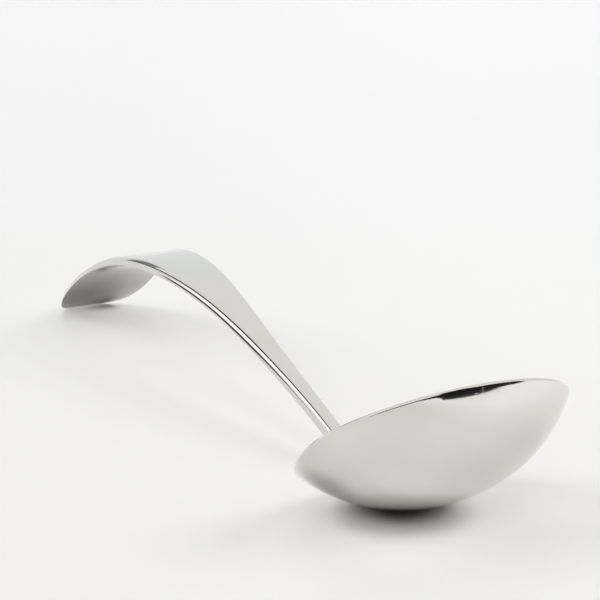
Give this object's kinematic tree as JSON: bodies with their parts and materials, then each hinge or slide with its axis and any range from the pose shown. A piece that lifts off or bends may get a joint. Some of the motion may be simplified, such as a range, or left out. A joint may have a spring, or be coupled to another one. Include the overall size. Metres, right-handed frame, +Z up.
{
  "type": "gravy ladle",
  "caption": "One-piece gravy ladle with a deep round bowl and a long arched handle that ends in a flat oval grip, resting on its bowl and handle end.",
  "frame": {"origin": "on the table under the middle of the ladle's outer size", "axes": "+X from the handle's end to the bowl's lip, +Y across the bowl, +Z up from the table"},
  "size_m": [0.1968, 0.058, 0.0341],
  "materials": {
    "polished_steel": "polished stainless steel, worn by use"
  },
  "bodies": {
    "root": {"ladle": "polished_steel"}
  },
  "joints": []
}
